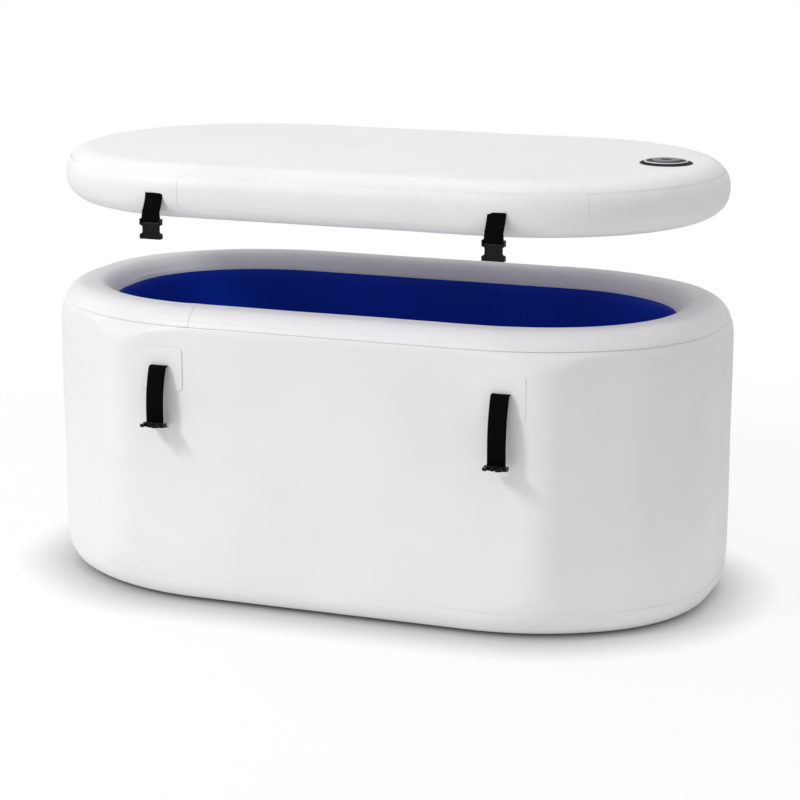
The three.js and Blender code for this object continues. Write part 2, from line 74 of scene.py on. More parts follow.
def addTint(tree, factor, dark, light, stops=(0.0, 1.0)):
    tint = addNode(tree, "ShaderNodeValToRGB", None, {"Fac": factor})
    for stop, place, code in zip(tint.color_ramp.elements, stops, (dark, light)):
        stop.position = place
        stop.color = hexColour(code)
    return tint.outputs["Color"]


def endMaterial(tree, inputs):
    shader = addNode(tree, "ShaderNodeBsdfPrincipled", None, inputs)
    addNode(tree, "ShaderNodeOutputMaterial", None, {"Surface": shader.outputs["BSDF"]})


# PVC coated over a drop-stitch scrim: satin film, threads just telling through, a little cloudiness
coatedCloth = {"threadSpacing": 2.6, "threadRelief": 0.035, "waveSize": 190, "waveRelief": 0.5,
               "tintStops": (0.3, 0.62)}


def coatedPvc(name, light, dark, roughness, coat, specular):
    material, tree = startMaterial(name)
    place = addNode(tree, "ShaderNodeTexCoord").outputs["Object"]
    cloud = addNode(tree, "ShaderNodeTexNoise", None, {"Vector": place, "Scale": 4.0, "Detail": 4.0})
    tint = addTint(tree, cloud.outputs["Fac"], dark, light, coatedCloth["tintStops"])
    # a wave texture repeats 20 / (2 pi) times a unit
    threadScale = 1000 / coatedCloth["threadSpacing"] / 20 * 2 * pi
    relief = None
    for direction in ("X", "Y", "Z"):
        threads = addNode(tree, "ShaderNodeTexWave", {"bands_direction": direction}, {
            "Vector": place, "Scale": threadScale, "Distortion": 0.6, "Detail Scale": 0.6})
        if relief is None:
            relief = threads.outputs["Fac"]
        else:
            total = addNode(tree, "ShaderNodeMath", {"operation": "ADD"}, {
                0: relief, 1: threads.outputs["Fac"]})
            relief = total.outputs["Value"]
    fine = addNode(tree, "ShaderNodeBump", None, {
        "Height": relief, "Strength": 0.5, "Distance": coatedCloth["threadRelief"] * mm})
    slack = addNode(tree, "ShaderNodeTexNoise", None, {
        "Vector": place, "Scale": 1000 / coatedCloth["waveSize"], "Detail": 2.0})
    broad = addNode(tree, "ShaderNodeBump", None, {
        "Height": slack.outputs["Fac"], "Strength": 1.0, "Distance": coatedCloth["waveRelief"] * mm,
        "Normal": fine.outputs["Normal"]})
    wear = addNode(tree, "ShaderNodeMapRange", None, {
        "Value": cloud.outputs["Fac"], "From Min": 0.3, "From Max": 0.7,
        "To Min": roughness + 0.06, "To Max": roughness - 0.05})
    endMaterial(tree, {
        "Base Color": tint, "Roughness": wear.outputs["Result"], "IOR": 1.53, "Coat Weight": coat,
        "Coat Roughness": 0.3, "Specular IOR Level": specular, "Normal": broad.outputs["Normal"]})
    return material


# Woven polypropylene webbing: matt ribs along the length, crossed by fine picks; its colour follows the weave's
# relief, with a painted highlight on the crowns and painted shade in the hollows
webbingCloth = {"width": 40, "ribs": 13, "pickSpacing": 2.1, "relief": 0.35}


def wovenWebbing(name, dark, light):
    material, tree = startMaterial(name)
    along = addNode(tree, "ShaderNodeTexCoord").outputs["UV"]
    ribs = addNode(tree, "ShaderNodeTexWave", {"bands_direction": "X"}, {
        "Vector": along, "Scale": webbingCloth["ribs"] * pi / 10, "Distortion": 0.3})
    picks = addNode(tree, "ShaderNodeTexWave", {"bands_direction": "DIAGONAL"}, {
        "Vector": along, "Scale": webbingCloth["width"] / webbingCloth["pickSpacing"] * pi / 10,
        "Distortion": 0.8, "Detail Scale": 2.0})
    relief = addNode(tree, "ShaderNodeMath", {"operation": "MULTIPLY"}, {
        0: ribs.outputs["Fac"], 1: picks.outputs["Fac"]})
    # the relief also sets the colour: painted shade in the weave's hollows, painted highlight on its crowns
    tint = addTint(tree, relief.outputs["Value"], dark, light)
    bump = addNode(tree, "ShaderNodeBump", None, {
        "Height": relief.outputs["Value"], "Strength": 0.9, "Distance": webbingCloth["relief"] * mm})
    endMaterial(tree, {
        "Base Color": tint, "Roughness": 0.82, "IOR": 1.49, "Specular IOR Level": 0.06,
        "Normal": bump.outputs["Normal"]})
    return material


# Moulded plastics and rubber: a spark-eroded grain, scuffed a little paler where it is handled
handledRange = (0.35, 0.75)


def moulded(name, dark, light, roughness, grainSize, relief, ior):
    material, tree = startMaterial(name)
    place = addNode(tree, "ShaderNodeTexCoord").outputs["Object"]
    grain = addNode(tree, "ShaderNodeTexNoise", None, {
        "Vector": place, "Scale": 1000 / grainSize, "Detail": 3.0, "Roughness": 0.6})
    handled = addNode(tree, "ShaderNodeTexNoise", None, {"Vector": place, "Scale": 60.0, "Detail": 5.0})
    tint = addTint(tree, handled.outputs["Fac"], dark, light, handledRange)
    shine = addNode(tree, "ShaderNodeMapRange", None, {
        "Value": handled.outputs["Fac"], "From Min": handledRange[0], "From Max": handledRange[1],
        "To Min": roughness - 0.05, "To Max": roughness + 0.08})
    bump = addNode(tree, "ShaderNodeBump", None, {
        "Height": grain.outputs["Fac"], "Strength": 0.6, "Distance": relief * mm})
    endMaterial(tree, {
        "Base Color": tint, "Roughness": shine.outputs["Result"], "IOR": ior,
        "Specular IOR Level": 0.25, "Normal": bump.outputs["Normal"]})
    return material


# Drawn steel wire: bright, with faint die lines
def drawnSteel(name):
    material, tree = startMaterial(name)
    place = addNode(tree, "ShaderNodeTexCoord").outputs["Object"]
    lines = addNode(tree, "ShaderNodeTexNoise", None, {"Vector": place, "Scale": 900.0, "Detail": 2.0})
    shine = addNode(tree, "ShaderNodeMapRange", None, {
        "Value": lines.outputs["Fac"], "To Min": 0.22, "To Max": 0.42})
    endMaterial(tree, {
        "Base Color": hexColour("#b9bbbe"), "Metallic": 1.0, "Roughness": shine.outputs["Result"]})
    return material


whitePvc = coatedPvc("drop stitch white PVC", "#f1f0f1", "#eceaec", 0.5, 0.06, 0.5)
bluePvc = coatedPvc("drop stitch blue PVC", "#023cc8", "#0234b2", 0.5, 0.0, 0.2)
blackWebbing = wovenWebbing("woven polypropylene webbing", "#020203", "#0d0d0f")
blackAcetal = moulded("moulded acetal", "#050506", "#0d0d0e", 0.42, 0.8, 0.05, 1.48)
greyTpu = moulded("moulded grey TPU", "#77787c", "#8b8c90", 0.4, 1.1, 0.04, 1.5)
# pale TPU for the valve's flange ring: its pale colour is a painted highlight on the ring's bevel
flangeHighlightTpu = moulded("pale TPU painted as a flange highlight", "#d8d9db", "#e6e6e8", 0.42, 1.1, 0.04, 1.5)
blackRubber = moulded("moulded black rubber", "#0f0f11", "#1c1c1e", 0.62, 1.4, 0.08, 1.52)
springSteel = drawnSteel("drawn steel wire")
print("materials", len(bpy.data.materials))


# Finishing a piece

creaseAngle = radians(35)  # a sharper edge is shaded as an edge, and rounded off where a piece asks for it
hole = {"steps": 64, "clearance": 0.2, "lidDepth": 120, "wallDepth": 20}


def finishPiece(name, bm, body, material, replaced, at=None):
    if at is not None:
        bmesh.ops.transform(bm, matrix=at, verts=bm.verts)
    bmesh.ops.scale(bm, vec=Vector((mm, mm, mm)), verts=bm.verts)
    mesh = bpy.data.meshes.new(name)
    bm.to_mesh(mesh)
    bm.free()
    mesh.shade_smooth()
    mesh.set_sharp_from_angle(angle=creaseAngle)
    mesh.materials.append(material)
    piece = bpy.data.objects.new(name, mesh)
    bpy.context.scene.collection.objects.link(piece)
    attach(piece, body)
    if replaced:
        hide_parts(*replaced)
    return piece


def softenEdges(piece, width, segments=2):
    bevel = piece.modifiers.new("edges", "BEVEL")
    bevel.width = width * mm
    bevel.segments = segments
    bevel.limit_method = "ANGLE"
    bevel.angle_limit = creaseAngle


def pierce(piece, spot, pipe, depth):
    # a round hole for a pipe along spot's Z, cut once and applied
    bm = bmesh.new()
    radius = pipe + hole["clearance"]
    bmesh.ops.create_cone(bm, cap_ends=True, segments=hole["steps"], radius1=radius, radius2=radius,
                          depth=depth)
    bmesh.ops.transform(bm, matrix=spot, verts=bm.verts)
    bmesh.ops.scale(bm, vec=Vector((mm, mm, mm)), verts=bm.verts)
    drillMesh = bpy.data.meshes.new("drill")
    bm.to_mesh(drillMesh)
    bm.free()
    drill = bpy.data.objects.new("drill", drillMesh)
    bpy.context.scene.collection.objects.link(drill)
    cut = piece.modifiers.new("hole", "BOOLEAN")
    cut.operation = "DIFFERENCE"
    cut.solver = "EXACT"
    cut.object = drill
    graph = bpy.context.evaluated_depsgraph_get()
    pierced = bpy.data.meshes.new_from_object(piece.evaluated_get(graph))
    piece.modifiers.remove(cut)
    old = piece.data
    pierced.name = old.name
    piece.data = pierced
    bpy.data.meshes.remove(old)
    bpy.data.objects.remove(drill)
    bpy.data.meshes.remove(drillMesh)


# Outlines and skins

def vertsOf(geom):
    return [g for g in geom if isinstance(g, bmesh.types.BMVert)]


def faceOut(bm):
    bmesh.ops.recalc_face_normals(bm, faces=bm.faces)
    bm.normal_update()


def traceOutline(bm, corners, outset, height, flatSteps):
    # one vertex walks round the plan: spun about each crease, pushed along each flat
    before = set(bm.edges)
    starts = []
    for centre, turnFrom, turnTo, radius, steps in corners:
        reach = radius + outset
        starts.append(Vector((
            centre[0] + reach * cos(turnFrom), centre[1] + reach * sin(turnFrom), height)))
    first = bm.verts.new(starts[0])
    walker = first
    for i, (centre, turnFrom, turnTo, radius, steps) in enumerate(corners):
        spun = bmesh.ops.spin(bm, geom=[walker], cent=(centre[0], centre[1], height), axis=(0, 0, 1),
                              angle=turnTo - turnFrom, steps=steps, use_merge=False)
        walker = vertsOf(spun["geom_last"])[0]
        last = i == len(corners) - 1
        target = starts[0] if last else starts[i + 1]
        flat = target - walker.co
        count = flatSteps[i]
        for k in range(count - 1):
            walker = bmesh.ops.extrude_vert_indiv(bm, verts=[walker])["verts"][0]
            bmesh.ops.translate(bm, verts=[walker], vec=flat / count)
        if last:
            bm.edges.new((walker, first))
        else:
            walker = bmesh.ops.extrude_vert_indiv(bm, verts=[walker])["verts"][0]
            walker.co = target
    return [e for e in bm.edges if e not in before]


def skin(bm, rings):
    for lower, upper in zip(rings, rings[1:]):
        bmesh.ops.bridge_loops(bm, edges=lower + upper)


def closeWithFace(bm, ring):
    bmesh.ops.edgeloop_fill(bm, edges=ring)


def slackCloth(bm, amount, size, seed):
    # the small hollows and swells of an inflated skin
    for v in bm.verts:
        lift = noise.noise(v.co / size + Vector((seed, 0, 0)))
        v.co += v.normal * lift * amount


def easeHeights(bm, limit, reach):
    # heights near a limit are pressed together, so that nothing passes it
    # a negative reach holds from below
    for v in bm.verts:
        excess = (v.co.z - limit) / reach + 1
        if excess > 0:
            v.co.z = limit - reach * exp(-excess)


def thicken(bm, thickness):
    bm.normal_update()
    bmesh.ops.solidify(bm, geom=bm.faces[:], thickness=thickness)


# Tub

# slack is (lift, length, noise seed) and a ripple (lift, reach, noise seed)
tub = {
    "length": 1500, "width": 820, "height": 650, "wall": 116, "sideFlat": 956, "endFlat": 410,
    "creases": (120, 270), "softCreases": (500, 340), "innerCreases": (350, 250), "edge": 55, "foot": 2.3,
    "rimSeam": 612, "baseSeam": 58, "rimFade": (583, 612), "footFade": (20, 110), "lap": 12, "tape": 0.8,
    "baseTape": 0.3, "tapeWidth": 11, "tapeStep": 0.3, "tapeEase": 0.012, "skin": 1.0,
    "grooveWidth": 1.8, "grooveDepth": 0.6, "baseGroove": 0.3, "innerGroove": 1,
    "creaseSteps": 12, "edgeSteps": 12, "shoulderSteps": 4, "lapSteps": 2, "wallRings": 24, "innerRings": 18,
    "flats": (4, 24, 8), "floorTop": 72.6, "innerTuck": 6, "linerEdge": [(0.4, -3), (0.4, -1.2)],
    "linerInsets": (6, 20, 50, 90, 140, 180), "footEase": 0.1, "sheetGap": 0.4, "rimRise": 0.3, "pressed": 4,
    "slack": (0.9, 170, 3.0), "innerSlack": (1.4, 120, 8.0), "rimRipple": (0.7, 30, 1.0),
    "baseRipple": (0.7, 30, 5.0),
}
ripples = {"along": 40, "upward": 160, "least": 0.02}
rimCentre = tub["height"] - tub["edge"]
footCentre = tub["foot"] + tub["edge"]


def easeBetween(value, low, high):
    share = max(0, min(1, (value - low) / (high - low)))
    return share * share * (3 - 2 * share)


def tubCorners(inset, creases):
    # eight turns: two to a quarter, where the end meets the diagonal and the diagonal meets the side
    halfLength, halfWidth = tub["length"] / 2, tub["width"] / 2
    slope = Vector((halfLength - tub["sideFlat"] / 2, tub["endFlat"] / 2 - halfWidth))
    facing = atan2(slope.x, -slope.y)
    reach = cos(facing) * tub["sideFlat"] / 2 + sin(facing) * halfWidth - inset
    halfLength -= inset
    halfWidth -= inset
    sideX = (reach - sin(facing) * halfWidth) / cos(facing)
    endY = (reach - cos(facing) * halfLength) / sin(facing)
    turns = []
    for at, low, high, radius in (((halfLength, endY), 0, facing, creases[1]),
                                  ((sideX, halfWidth), facing, pi / 2, creases[0])):
        middle = (low + high) / 2
        back = radius / cos((high - low) / 2)
        turns.append((at[0] - back * cos(middle), at[1] - back * sin(middle), low, high, radius))
    steps = tub["creaseSteps"]
    upperRight = [((x, y), low, high, r, steps) for x, y, low, high, r in turns]
    upperLeft = [((-x, y), pi - high, pi - low, r, steps) for x, y, low, high, r in reversed(turns)]
    lowerLeft = [((-x, -y), pi + low, pi + high, r, steps) for x, y, low, high, r in turns]
    lowerRight = [((x, -y), 2 * pi - high, 2 * pi - low, r, steps)
                  for x, y, low, high, r in reversed(turns)]
    return upperRight + upperLeft + lowerLeft + lowerRight


innerCorners = tubCorners(tub["wall"], tub["innerCreases"])
diagonal, side, end = tub["flats"]
flatCounts = [diagonal, side, diagonal, end, diagonal, side, diagonal, end]


def outerRing(bm, outset, height):
    # the wall's creases fade out towards the round rim and the round foot
    crisp = easeBetween(height, *tub["footFade"]) * (1 - easeBetween(height, *tub["rimFade"]))
    creases = [soft + (hard - soft) * crisp for soft, hard in zip(tub["softCreases"], tub["creases"])]
    return traceOutline(bm, tubCorners(0, creases), outset, height, flatCounts)


def innerRing(bm, outset, height):
    return traceOutline(bm, innerCorners, -outset, height, flatCounts)


def roundOver(centreHeight, fromAngle, toAngle, proud, steps):
    # stations over a rounded edge as (outset, height), angle 0 being the outer face
    radius = tub["edge"]
    stations = []
    for k in range(steps + 1):
        a = fromAngle + (toAngle - fromAngle) * k / steps
        outset = radius * cos(a) - radius + proud * cos(a)
        stations.append((outset, centreHeight + (radius + proud) * sin(a)))
    return stations


def angleAt(height, centreHeight):
    return asin((height - centreHeight) / tub["edge"])


def pucker(bm, seamHeight, amount, reach, seed):
    # a welded lap draws the skin up in small uneven ripples
    for v in bm.verts:
        near = exp(-((v.co.z - seamHeight) / reach) ** 2)
        if near > ripples["least"]:
            x, y, z = v.co.x / ripples["along"], v.co.y / ripples["along"], v.co.z / ripples["upward"]
            ripple = noise.noise(Vector((x + seed, y, z)))
            v.co += v.normal * ripple * amount * near


def rimStations(proud, tapeProud):
    # from the lap seam up over the rim, with the seam's tape standing a little higher
    seam = angleAt(tub["rimSeam"], rimCentre)
    tapeEnd = seam + tub["tapeWidth"] / tub["edge"]
    stations = roundOver(rimCentre, seam, tapeEnd, tapeProud, tub["lapSteps"])
    return stations + roundOver(rimCentre, tapeEnd + tub["tapeEase"], pi / 2, proud, tub["edgeSteps"])


def makeWallSkin():
    bm = bmesh.new()
    groove, depth = tub["grooveWidth"], tub["grooveDepth"]
    low, high = tub["baseSeam"], tub["rimSeam"]
    stations = [(-depth, low - tub["lap"]), (-tub["baseGroove"], low + groove / 3), (0, low + groove)]
    count = tub["wallRings"]
    first = low + groove
    stations += [(0, first + (rimCentre - first) * k / count) for k in range(1, count)]
    stations += roundOver(rimCentre, 0, angleAt(high - groove, rimCentre), 0, tub["shoulderSteps"])
    stations += roundOver(rimCentre, angleAt(high - groove / 3, rimCentre),
                          angleAt(high + tub["lap"], rimCentre), -depth, tub["lapSteps"])
    skin(bm, [outerRing(bm, outset, height) for outset, height in stations])
    faceOut(bm)
    slackCloth(bm, *tub["slack"])
    pucker(bm, tub["rimSeam"], *tub["rimRipple"])
    pucker(bm, tub["baseSeam"], *tub["baseRipple"])
    thicken(bm, tub["skin"])
    return finishPiece("wallSkin", bm, "tub", whitePvc, ["outer_skin", "wall_core"])


def makeRimBand():
    bm = bmesh.new()
    stations = rimStations(tub["tape"], tub["tape"] + tub["tapeStep"])
    rings = [outerRing(bm, outset, height) for outset, height in stations]
    rings += [innerRing(bm, outset, height) for outset, height in reversed(stations)]
    skin(bm, rings)
    faceOut(bm)
    slackCloth(bm, *tub["slack"])
    pucker(bm, tub["rimSeam"], *tub["rimRipple"])
    thicken(bm, tub["tape"])
    easeHeights(bm, tub["height"] + tub["rimRise"], tub["pressed"])
    finishPiece("rimBand", bm, "tub", whitePvc, ["rim_band"])


def makeBaseBand():
    bm = bmesh.new()
    stations = [(-tub["wall"] / 2, tub["foot"])]
    stations += roundOver(footCentre, -pi / 2, angleAt(tub["baseSeam"], footCentre), tub["baseTape"],
                          tub["edgeSteps"])
    lowest = tub["foot"] - tub["footEase"]
    skin(bm, [outerRing(bm, outset, max(height, lowest)) for outset, height in stations])
    faceOut(bm)
    pucker(bm, tub["baseSeam"], *tub["baseRipple"])
    thicken(bm, tub["tape"])
    finishPiece("baseBand", bm, "tub", whitePvc, ["base_band"])


def makeInnerSkin():
    bm = bmesh.new()
    low = tub["floorTop"] - tub["innerTuck"]
    seam = angleAt(tub["rimSeam"], rimCentre)
    count = tub["innerRings"]
    stations = [(0, low + (rimCentre - low) * k / count) for k in range(count)]
    stations += roundOver(rimCentre, 0, angleAt(tub["rimSeam"] - tub["innerGroove"], rimCentre), 0,
                          tub["shoulderSteps"])
    stations += roundOver(rimCentre, seam, angleAt(tub["rimSeam"] + tub["lap"], rimCentre),
                          -tub["grooveDepth"], tub["lapSteps"])
    skin(bm, [innerRing(bm, outset, height) for outset, height in stations])
    bmesh.ops.recalc_face_normals(bm, faces=bm.faces)
    bmesh.ops.reverse_faces(bm, faces=bm.faces)  # an inner wall faces the middle of the tub
    bm.normal_update()
    slackCloth(bm, *tub["innerSlack"])
    thicken(bm, tub["skin"])
    return finishPiece("innerSkin", bm, "tub", bluePvc, ["inner_skin"])


def makeFloorLiner():
    bm = bmesh.new()
    stations = tub["linerEdge"] + [(inset, 0) for inset in tub["linerInsets"]]
    rings = [innerRing(bm, inset, tub["floorTop"] + lift) for inset, lift in stations]
    skin(bm, rings)
    closeWithFace(bm, rings[0])
    closeWithFace(bm, rings[-1])
    bmesh.ops.recalc_face_normals(bm, faces=bm.faces)
    finishPiece("floorLiner", bm, "tub", bluePvc, ["floor_liner", "floor_core"])


def makeBottomSheet():
    bm = bmesh.new()
    rings = [outerRing(bm, -tub["wall"] / 2, height) for height in (0, tub["foot"] - tub["sheetGap"])]
    skin(bm, rings)
    closeWithFace(bm, rings[0])
    closeWithFace(bm, rings[1])
    bmesh.ops.recalc_face_normals(bm, faces=bm.faces)
    finishPiece("bottomSheet", bm, "tub", whitePvc, ["bottom_sheet"])


wallSkin = makeWallSkin()
makeRimBand()
makeBaseBand()
innerSkin = makeInnerSkin()
makeFloorLiner()
makeBottomSheet()
print("tub shells")


# Lid

lid = {
    "length": 1490, "width": 812, "thickness": 116, "bottom": 836, "seamAngle": 35, "grooveAngle": 2.0,
    "lapAngle": 9, "roundSteps": 40, "straight": 20, "faceInsets": (400, 340, 270, 200, 130, 90),
    "faceSteps": 8, "bandSteps": 10, "topSlack": (1.1, 150, 21.0), "underSlack": (1.1, 150, 27.0),
    "bandSlack": (0.8, 120, 31.0), "upperRipple": (0.8, 12, 9.0), "lowerRipple": (0.8, 12, 11.0),
}
lidCentre = (lid["length"] - lid["width"]) / 2
lidCorners = [((lidCentre, 0), -pi / 2, pi / 2, lid["width"] / 2, lid["roundSteps"]),
              ((-lidCentre, 0), pi / 2, 3 * pi / 2, lid["width"] / 2, lid["roundSteps"])]
lidTop = lid["bottom"] + lid["thickness"]
lidUpper, lidLower = lidTop - tub["edge"], lid["bottom"] + tub["edge"]
lidSeamRise = tub["edge"] * sin(radians(lid["seamAngle"]))


def lidRing(bm, outset, height):
    return traceOutline(bm, lidCorners, outset, height, [lid["straight"]] * 2)


def makeLidFace(name, top, replaced):
    bm = bmesh.new()
    seam, groove, lap = (radians(lid[key]) for key in ("seamAngle", "grooveAngle", "lapAngle"))
    stations = [(-d, lidTop) for d in lid["faceInsets"]]
    stations += roundOver(lidUpper, pi / 2, seam + groove, 0, lid["faceSteps"])
    stations += roundOver(lidUpper, seam + groove / 3, seam - lap, -tub["grooveDepth"], tub["lapSteps"])
    if not top:
        stations = [(d, lidTop + lid["bottom"] - h) for d, h in stations]
    rings = [lidRing(bm, outset, height) for outset, height in stations]
    skin(bm, rings)
    middle = {v for edge in rings[0] for v in edge.verts}
    closeWithFace(bm, rings[0])
    closeWithFace(bm, rings[-1])
    faceOut(bm)
    if top:
        slackCloth(bm, *lid["topSlack"])
        pucker(bm, lidUpper + lidSeamRise, *lid["upperRipple"])
    else:
        slackCloth(bm, *lid["underSlack"])
        pucker(bm, lidLower - lidSeamRise, *lid["lowerRipple"])
    for v in middle:  # the strip down the middle stays flat
        v.co.z = lidTop if top else lid["bottom"]
    if not top:
        easeHeights(bm, lid["bottom"], -tub["pressed"])
    return finishPiece(name, bm, "lid", whitePvc, replaced)


def lidBandStations(seam, proud):
    upper = roundOver(lidUpper, seam, 0, proud, lid["bandSteps"])
    return upper + roundOver(lidLower, 0, -seam, proud, lid["bandSteps"])


def makeLidBand():
    bm = bmesh.new()
    stations = lidBandStations(radians(lid["seamAngle"]), tub["tape"])
    skin(bm, [lidRing(bm, outset, height) for outset, height in stations])
    faceOut(bm)
    slackCloth(bm, *lid["bandSlack"])
    pucker(bm, lidUpper + lidSeamRise, *lid["upperRipple"])
    pucker(bm, lidLower - lidSeamRise, *lid["lowerRipple"])
    thicken(bm, tub["tape"])
    finishPiece("lidBand", bm, "lid", whitePvc, ["lid_edge_band"])


lidTopSkin = makeLidFace("lidTop", True, ["lid_top_skin", "lid_core"])
makeLidFace("lidUnderside", False, ["lid_bottom_skin"])
makeLidBand()
print("lid shells")


# Lap joints across the bands, where a band's two ends are welded over each other

lapJoint = {"width": 26, "proud": 0.9, "thickness": 1.6, "overlap": 1.5, "turnSteps": 10,
            "rimFront": -319, "rimRear": 300,
            "lidLeft": (-349, -325), "lidRight": (431, 550)}


def tracePath(bm, points):
    walker = bm.verts.new(points[0])
    for point in points[1:]:
        walker = bmesh.ops.extrude_vert_indiv(bm, verts=[walker])["verts"][0]
        walker.co = point


def makeRimLap(name, x, sign):
    # sign -1 is the front rim, 1 the rear rim
    bm = bmesh.new()
    left = x - lapJoint["width"] / 2
    stations = rimStations(tub["tape"] + lapJoint["proud"],
                           tub["tape"] + tub["tapeStep"] + lapJoint["proud"])
    outer, inner = tub["width"] / 2, tub["width"] / 2 - tub["wall"]
    points = [(left, sign * (outer + outset), height) for outset, height in stations]
    points += [(left, sign * (inner - outset), height) for outset, height in reversed(stations)]
    tracePath(bm, points)
    grown = bmesh.ops.extrude_edge_only(bm, edges=bm.edges[:])["geom"]
    bmesh.ops.translate(bm, verts=vertsOf(grown), vec=(lapJoint["width"], 0, 0))
    bmesh.ops.recalc_face_normals(bm, faces=bm.faces)
    if sum(f.normal.z for f in bm.faces) < 0:
        bmesh.ops.reverse_faces(bm, faces=bm.faces)
    thicken(bm, lapJoint["thickness"])
    easeHeights(bm, tub["height"] + tub["rimRise"], tub["pressed"])
    finishPiece(name, bm, "tub", whitePvc, [])


def makeLidLap(name, fromX, toX):
    # a patch over the front of the edge band, between two places along the lid
    bm = bmesh.new()
    radius = lid["width"] / 2
    stations = lidBandStations(radians(lid["seamAngle"] + lapJoint["overlap"]), tub["tape"] + lapJoint["proud"])
    onRound = fromX > lidCentre
    startX = lidCentre if onRound else fromX
    tracePath(bm, [(startX, -radius - outset, height) for outset, height in stations])
    if onRound:
        turns = [asin((x - lidCentre) / radius) for x in (fromX, toX)]
        bmesh.ops.rotate(bm, cent=(lidCentre, 0, 0), matrix=Matrix.Rotation(turns[0], 3, "Z"),
                         verts=bm.verts)
        bmesh.ops.spin(bm, geom=bm.edges[:] + bm.verts[:], cent=(lidCentre, 0, 0), axis=(0, 0, 1),
                       angle=turns[1] - turns[0], steps=lapJoint["turnSteps"], use_merge=False)
    else:
        grown = bmesh.ops.extrude_edge_only(bm, edges=bm.edges[:])["geom"]
        bmesh.ops.translate(bm, verts=vertsOf(grown), vec=(toX - fromX, 0, 0))
    bmesh.ops.recalc_face_normals(bm, faces=bm.faces)
    if sum(f.normal.y for f in bm.faces) > 0:
        bmesh.ops.reverse_faces(bm, faces=bm.faces)
    thicken(bm, lapJoint["thickness"])
    finishPiece(name, bm, "lid", whitePvc, [])


makeRimLap("rimLapFront", lapJoint["rimFront"], -1)
makeRimLap("rimLapRear", lapJoint["rimRear"], 1)
makeLidLap("lidLapLeft", *lapJoint["lidLeft"])
makeLidLap("lidLapRight", *lapJoint["lidRight"])
print("lap joints")


# Straps

strap = {
    "width": webbingCloth["width"], "thickness": 1.6, "edge": 0.45, "columns": 6,
    "patch": (102, 92, 1.5), "patchTop": 566, "patchCorner": 8, "patchGap": 0.3, "patchEdge": 0.7,
    "onTub": {"left": -370, "right": 394}, "onLid": {"left": -378, "right": 378},
    "tubRoot": 412.9, "tubTop": 526, "lead": 5, "bend": {"left": 9, "right": 6}, "slant": 20, "hang": 24,
    "drop": {"left": 124, "right": 148}, "tail": {"left": 20, "right": 9}, "droop": 4, "barRadius": 3,
    "loop": 4.2, "tuck": 1.2, "level": 2, "pull": 0.4, "lean": 0.8, "bendSteps": 8, "hangSteps": 16,
    "loopSteps": 7, "tailSteps": 5, "lidRoot": 405.2, "lidTop": 894, "lidDrop": 56, "lidBow": 17,
    "lidSteps": 12, "hem": (5.2, 22),
}
sides = {"front": 0, "rear": pi}
ends = ("left", "right")


def placeAt(side, x):
    return Matrix.Translation((x, 0, 0)) @ Matrix.Rotation(sides[side], 4, "Z")


def sideKey(spot):
    return round(spot.y, 3), round(spot.z, 3)


def webbingFrom(walk):
    # a chain of vertices in the strap's side view, pulled out to the webbing's width
    bm = bmesh.new()
    half = strap["width"] / 2
    walker = bm.verts.new((-half, -walk[0][0], walk[0][1]))
    lengths = {sideKey(walker.co): 0.0}
    total = 0.0
    for (y0, z0), (y1, z1) in zip(walk, walk[1:]):
        walker = bmesh.ops.extrude_vert_indiv(bm, verts=[walker])["verts"][0]
        walker.co = (-half, -y1, z1)
        total += hypot(y1 - y0, z1 - z0)
        lengths[sideKey(walker.co)] = total
    front = bm.edges[:]
    for k in range(strap["columns"]):
        grown = bmesh.ops.extrude_edge_only(bm, edges=front)["geom"]
        front = [g for g in grown if isinstance(g, bmesh.types.BMEdge)
                 and all(v in grown for v in g.verts)]
        bmesh.ops.translate(bm, verts=vertsOf(grown), vec=(strap["width"] / strap["columns"], 0, 0))
    uv = bm.loops.layers.uv.new("weave")
    for face in bm.faces:
        for loop in face.loops:
            spot = loop.vert.co
            along = lengths[sideKey(spot)]
            loop[uv].uv = ((spot.x + half) / strap["width"], along / strap["width"])
    bmesh.ops.recalc_face_normals(bm, faces=bm.faces)
    return bm


def arcWalk(centre, radius, fromAngle, toAngle, steps):
    angles = [fromAngle + (toAngle - fromAngle) * k / steps for k in range(steps + 1)]
    return [(centre[0] + radius * cos(a), centre[1] + radius * sin(a)) for a in angles]


def tubStrapWalk(end):
    # level out of the patch, over a bend, down in a bow, round the bar and in along the free tail
    root, top, bend = strap["tubRoot"], strap["tubTop"], strap["bend"][end]
    slant = radians(strap["slant"])
    out = root + strap["hang"]
    bar = top - strap["drop"][end]
    walk = [(root - strap["tuck"], top), (root + strap["level"], top)]
    walk += arcWalk((root + strap["lead"], top - bend), bend, pi / 2, slant, strap["bendSteps"])
    begin = Vector((*walk[-1], 0))
    finish = Vector((out + strap["loop"], bar, 0))
    pull = (begin - finish).length * strap["pull"]
    heading = Vector((sin(slant), -cos(slant), 0))
    above = finish + Vector((strap["lean"], pull, 0))
    hang = geometry.interpolate_bezier(begin, begin + heading * pull, above, finish, strap["hangSteps"])
    walk += [(p.x, p.y) for p in hang[1:]]
    walk += arcWalk((out, bar), strap["loop"], 0, -pi / 2, strap["loopSteps"])[1:]
    under = bar - strap["loop"]
    for k in range(1, strap["tailSteps"] + 1):
        share = k / strap["tailSteps"]
        walk.append((out - strap["tail"][end] * share, under - strap["droop"] * share ** 2))
    return walk


def lidStrapWalk():
    root, top = strap["lidRoot"], strap["lidTop"]
    out, bar = root + strap["lidBow"], top - strap["lidDrop"]
    reach = out + strap["loop"]
    walk = []
    for k in range(strap["lidSteps"] + 1):
        share = k / strap["lidSteps"]
        walk.append((root + (reach - root) * easeBetween(share, 0, 1), top + (bar - top) * share))
    walk += arcWalk((out, bar), strap["loop"], 0, -pi, strap["lidSteps"])[1:]
    hemIn, hemUp = strap["hem"]
    for k in range(1, strap["tailSteps"] + 1):  # the sewn end, turned up behind
        share = k / strap["tailSteps"]
        walk.append((out - strap["loop"] + hemIn * share, bar + hemUp * share))
    return walk


